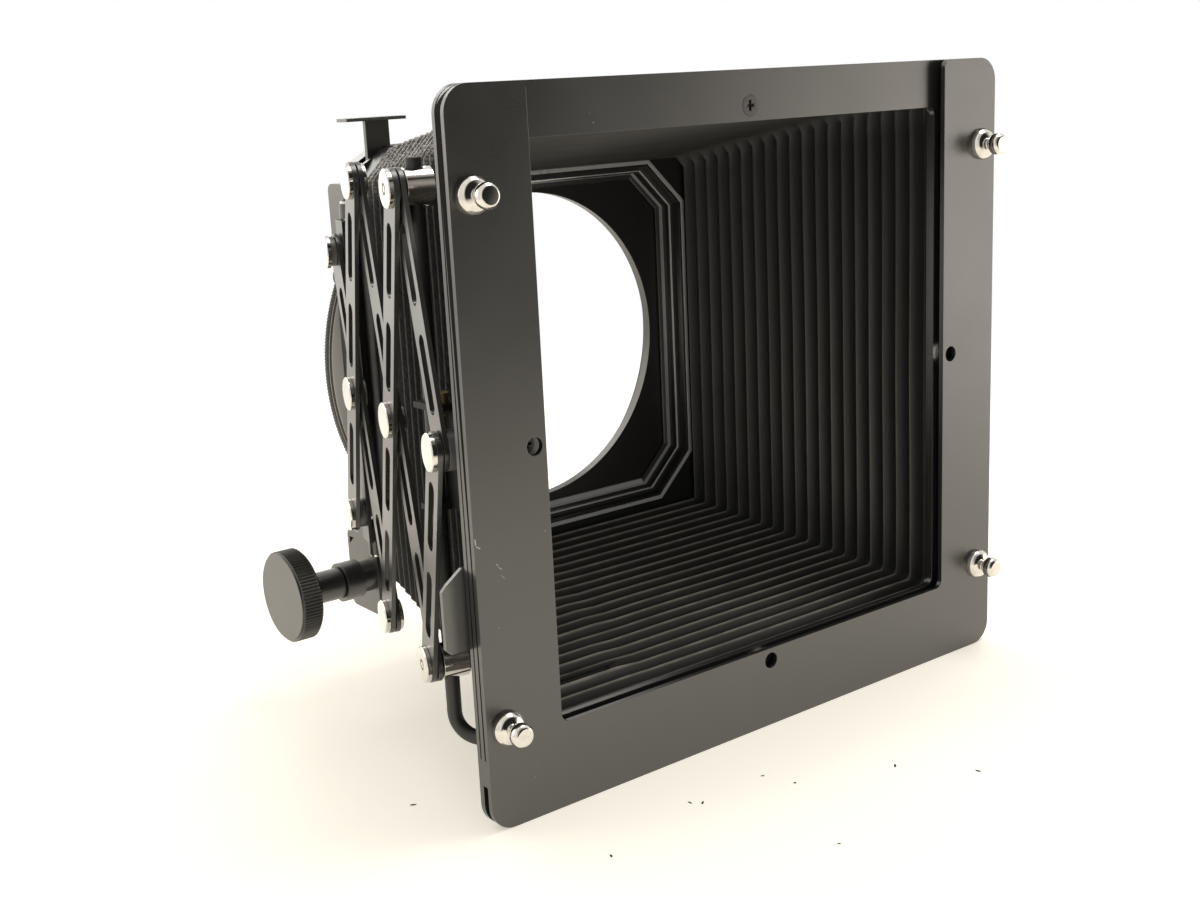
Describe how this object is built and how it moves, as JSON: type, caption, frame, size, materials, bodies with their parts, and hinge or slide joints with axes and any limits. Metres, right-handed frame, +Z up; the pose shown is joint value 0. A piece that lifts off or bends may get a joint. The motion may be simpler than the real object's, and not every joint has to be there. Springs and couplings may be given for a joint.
{
  "type": "bellows lens hood",
  "caption": "Black pleated bellows lens hood with a square mask frame, slotted lazy tongs on one side and a knurled round lens mount.",
  "frame": {"origin": "centre of the mount ring's rear mouth", "axes": "+Y along the lens bore out of its mouth, towards the camera; +Z up; the hood's front faces -Y"},
  "size_m": [0.163, 0.1108, 0.15],
  "materials": {
    "satin_black": "satin",
    "deep_black": "matte",
    "chrome": "polished",
    "brass": "satin",
    "leatherette": "pebbled",
    "black_plastic": "matte",
    "knob_black": "matte"
  },
  "bodies": {
    "rear_standard": {"swivel_pins": "chrome", "side_plate": "satin_black", "side_plate_screws": "deep_black", "rear_clamp": "deep_black", "rear_collar": "deep_black", "rear_board": "satin_black", "filter_rail": "satin_black", "rear_wall": "satin_black", "rear_screws": "deep_black", "knob_bush": "knob_black", "bellows": "leatherette"},
    "front_standard": {"front_u_plate": "satin_black", "left_spacer": "satin_black", "right_spacer": "satin_black", "bottom_spacer": "satin_black", "front_frame_plate": "satin_black", "front_clamp": "deep_black", "front_clamp_screws": "deep_black", "mask_studs": "chrome", "guide_rod": "deep_black", "pivot_bracket": "deep_black", "bracket_screw": "brass", "side_clip": "satin_black"},
    "swivel_guide": {"swivel_guide": "deep_black"},
    "rear_pivot": {"rear_pivot": "chrome", "rear_pivot_washer": "black_plastic"},
    "middle_pivot": {"middle_pivot": "chrome", "middle_pivot_washer": "black_plastic"},
    "front_pivot": {"front_pivot": "chrome", "front_pivot_boss": "black_plastic", "front_pivot_washer": "black_plastic"},
    "rear_inner_arm": {"rear_inner_arm": "satin_black", "top_swivel_post": "chrome", "top_swivel_spacers": "black_plastic"},
    "rear_outer_arm": {"rear_outer_arm": "satin_black", "bottom_swivel_post": "chrome", "bottom_swivel_spacers": "black_plastic", "top_rivet": "chrome", "top_rivet_washer": "black_plastic"},
    "middle_inner_arm": {"middle_inner_arm": "satin_black"},
    "middle_outer_arm": {"middle_outer_arm": "satin_black", "bottom_rivet": "chrome", "bottom_rivet_washer": "black_plastic"},
    "front_inner_arm": {"front_inner_arm": "satin_black"},
    "front_outer_arm": {"front_outer_arm": "satin_black"},
    "top_slide_post": {"top_slide_post": "chrome", "top_slide_washer": "black_plastic"},
    "bottom_slide_post": {"bottom_slide_post": "chrome", "bottom_slide_washer": "black_plastic"},
    "mount_ring": {"mount_ring": "satin_black", "mount_snap_ring": "chrome"},
    "filter_holder": {"filter_holder": "deep_black", "filter_tab": "satin_black"},
    "knob": {"knob": "knob_black", "knob_shaft": "chrome", "knob_nut": "chrome"}
  },
  "joints": [
    {"name": "bellows_extension", "type": "slide", "parent": "rear_standard", "child": "front_standard", "axis": [0, -1, 0], "range_m": [-0.025, 0.005], "deforming": ["bellows"]},
    {"name": "tongs_swivel", "type": "hinge", "parent": "rear_standard", "child": "swivel_guide", "pos_m": [-0.05363, -0.01302, -0.0007], "axis": [0, 0, 1], "range_deg": [-8.64, 1.75]},
    {"name": "rear_pivot_slide", "type": "slide", "parent": "swivel_guide", "child": "rear_pivot", "axis": [-0.2631, -0.9648, 0], "range_m": [-0.00423, 0.00086]},
    {"name": "rear_inner_arm_turn", "type": "hinge", "parent": "rear_pivot", "child": "rear_inner_arm", "pos_m": [-0.05656, -0.02375, -0.0007], "axis": [0.9648, -0.2631, 0], "range_deg": [-1.45, 7.14]},
    {"name": "rear_outer_arm_turn", "type": "hinge", "parent": "rear_pivot", "child": "rear_outer_arm", "pos_m": [-0.05656, -0.02375, -0.0007], "axis": [0.9648, -0.2631, 0], "range_deg": [-7.14, 1.45]},
    {"name": "middle_pivot_slide", "type": "slide", "parent": "swivel_guide", "child": "middle_pivot", "axis": [-0.2631, -0.9648, 0], "range_m": [-0.01726, 0.00347]},
    {"name": "middle_inner_arm_turn", "type": "hinge", "parent": "middle_pivot", "child": "middle_inner_arm", "pos_m": [-0.06561, -0.05693, -0.0007], "axis": [0.9648, -0.2631, 0], "range_deg": [-1.45, 7.14]},
    {"name": "middle_outer_arm_turn", "type": "hinge", "parent": "middle_pivot", "child": "middle_outer_arm", "pos_m": [-0.06561, -0.05693, -0.0007], "axis": [0.9648, -0.2631, 0], "range_deg": [-7.14, 1.45]},
    {"name": "front_pivot_slide", "type": "slide", "parent": "swivel_guide", "child": "front_pivot", "axis": [-0.2631, -0.9648, 0], "range_m": [-0.03028, 0.00607]},
    {"name": "front_inner_arm_turn", "type": "hinge", "parent": "front_pivot", "child": "front_inner_arm", "pos_m": [-0.07465, -0.09011, -0.0007], "axis": [0.9648, -0.2631, 0], "range_deg": [-1.45, 7.14]},
    {"name": "front_outer_arm_turn", "type": "hinge", "parent": "front_pivot", "child": "front_outer_arm", "pos_m": [-0.07465, -0.09011, -0.0007], "axis": [0.9648, -0.2631, 0], "range_deg": [-7.14, 1.45]},
    {"name": "top_slide_turn", "type": "hinge", "parent": "middle_outer_arm", "child": "top_slide_post", "pos_m": [-0.07013, -0.07352, 0.0502], "axis": [0.9648, -0.2631, 0], "range_deg": [-1.45, 7.14]},
    {"name": "bottom_slide_turn", "type": "hinge", "parent": "middle_inner_arm", "child": "bottom_slide_post", "pos_m": [-0.07013, -0.07352, -0.0516], "axis": [0.9648, -0.2631, 0], "range_deg": [-7.14, 1.45]},
    {"name": "mount_ring_turn", "type": "hinge", "parent": "rear_standard", "child": "mount_ring", "pos_m": [0, 0, 0], "axis": [0, 1, 0], "continuous": true},
    {"name": "filter_holder_pull", "type": "slide", "parent": "rear_standard", "child": "filter_holder", "axis": [0, 0, 1], "range_m": [0, 0.1]},
    {"name": "knob_turn", "type": "hinge", "parent": "rear_standard", "child": "knob", "pos_m": [-0.0653, -0.0077, -0.0519], "axis": [-1, 0, 0], "range_deg": [-180, 0]}
  ],
  "couplings": [
    {"joint": "tongs_swivel", "follows": "bellows_extension", "rad_per_m": 6.0214},
    {"joint": "rear_pivot_slide", "follows": "bellows_extension", "ratio": 0.16854},
    {"joint": "rear_inner_arm_turn", "follows": "bellows_extension", "rad_per_m": -4.9742},
    {"joint": "rear_outer_arm_turn", "follows": "bellows_extension", "rad_per_m": 4.9742},
    {"joint": "middle_pivot_slide", "follows": "bellows_extension", "ratio": 0.68951},
    {"joint": "middle_inner_arm_turn", "follows": "bellows_extension", "rad_per_m": -4.9742},
    {"joint": "middle_outer_arm_turn", "follows": "bellows_extension", "rad_per_m": 4.9742},
    {"joint": "front_pivot_slide", "follows": "bellows_extension", "ratio": 1.2105},
    {"joint": "front_inner_arm_turn", "follows": "bellows_extension", "rad_per_m": -4.9742},
    {"joint": "front_outer_arm_turn", "follows": "bellows_extension", "rad_per_m": 4.9742},
    {"joint": "top_slide_turn", "follows": "bellows_extension", "rad_per_m": -4.9742},
    {"joint": "bottom_slide_turn", "follows": "bellows_extension", "rad_per_m": 4.9742}
  ]
}
